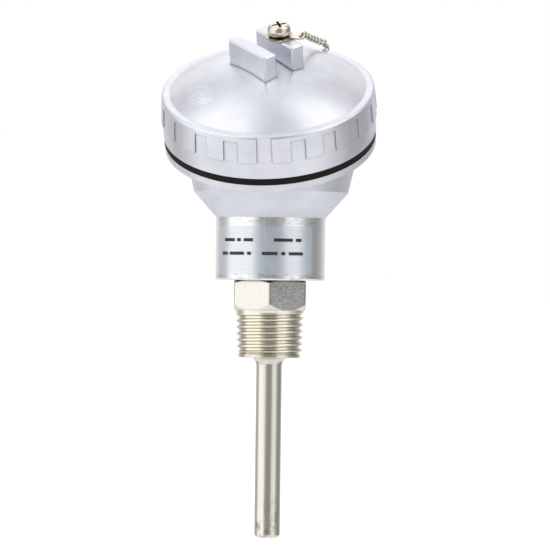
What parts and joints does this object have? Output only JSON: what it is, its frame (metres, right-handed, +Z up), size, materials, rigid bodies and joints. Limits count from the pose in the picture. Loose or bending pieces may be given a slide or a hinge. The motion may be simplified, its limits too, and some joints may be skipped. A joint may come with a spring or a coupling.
{
  "type": "rtd probe with head",
  "caption": "Threaded resistance thermometer: a closed steel tube and hexagon nipple under a cast connection head whose tilted screw cap hangs on a small chain.",
  "frame": {"origin": "on the probe's axis, at the underside of the hexagon where the tapered thread starts", "axes": "+Z runs up the probe's axis towards the head, the cap leans 30 degrees towards -Y, and the cable leaves at +Y"},
  "size_m": [0.0658, 0.0821, 0.1576],
  "materials": {
    "cast_housing": "satin cast",
    "cast_cap": "satin cast",
    "seal_rubber": "matte",
    "plated_screw": "bright plated",
    "plated_chain": "bright plated",
    "gland_metal": "machined",
    "gland_rubber": "matte",
    "steel_washer": "plain",
    "block_ceramic": "glazed",
    "strip_brass": "bright",
    "steel_screws": "plated",
    "lead_white": "matte",
    "lead_red": "matte",
    "bead_ceramic": "matte",
    "element_ceramic": "matte",
    "steel_tube": "drawn",
    "steel_fitting": "turned",
    "label_film": "clear film"
  },
  "bodies": {
    "housing": {"housing": "cast_housing", "chain": "plated_chain", "anchor_eyelet": "plated_screw", "anchor_screw": "plated_screw", "gland_grommet": "gland_rubber", "terminal_block": "block_ceramic", "terminal_strips": "strip_brass", "terminal_screws": "steel_screws", "block_screws": "steel_screws", "lead_white": "lead_white", "lead_red_1": "lead_red", "lead_red_2": "lead_red", "insulator_beads": "bead_ceramic", "rtd_element": "element_ceramic", "sensing_tube": "steel_tube", "process_fitting": "steel_fitting", "neck_label": "label_film"},
    "cap_seal": {"cap_seal": "seal_rubber"},
    "cap": {"cap": "cast_cap", "cap_screw": "plated_screw"},
    "cap_eyelet": {"cap_eyelet": "plated_screw"},
    "gland_washer": {"gland_washer": "steel_washer"},
    "gland_nut": {"gland_nut": "gland_metal"}
  },
  "joints": [
    {"name": "cap_lift", "type": "slide", "parent": "housing", "child": "cap_seal", "axis": [0, -0.5, 0.866], "range_m": [0, 0.0061], "deforming": ["chain"]},
    {"name": "cap_turn", "type": "hinge", "parent": "cap_seal", "child": "cap", "pos_m": [0, 0, 0.0448], "axis": [0, -0.5, 0.866], "range_deg": [0, 1080]},
    {"name": "eyelet_turn", "type": "hinge", "parent": "cap", "child": "cap_eyelet", "pos_m": [0.00379, -0.01785, 0.08283], "axis": [0, -0.5, 0.866], "range_deg": [-1080, 0]},
    {"name": "gland_lift", "type": "slide", "parent": "housing", "child": "gland_washer", "axis": [0, 1, 0], "range_m": [0, 0.0046]},
    {"name": "gland_turn", "type": "hinge", "parent": "gland_washer", "child": "gland_nut", "pos_m": [0, 0.035, 0.0445], "axis": [0, 1, 0], "range_deg": [0, 1080]}
  ],
  "couplings": [
    {"joint": "cap_lift", "follows": "cap_turn", "m_per_rad": 0.00031831},
    {"joint": "eyelet_turn", "follows": "cap_turn", "ratio": -1},
    {"joint": "gland_lift", "follows": "gland_turn", "m_per_rad": 0.00023873}
  ]
}
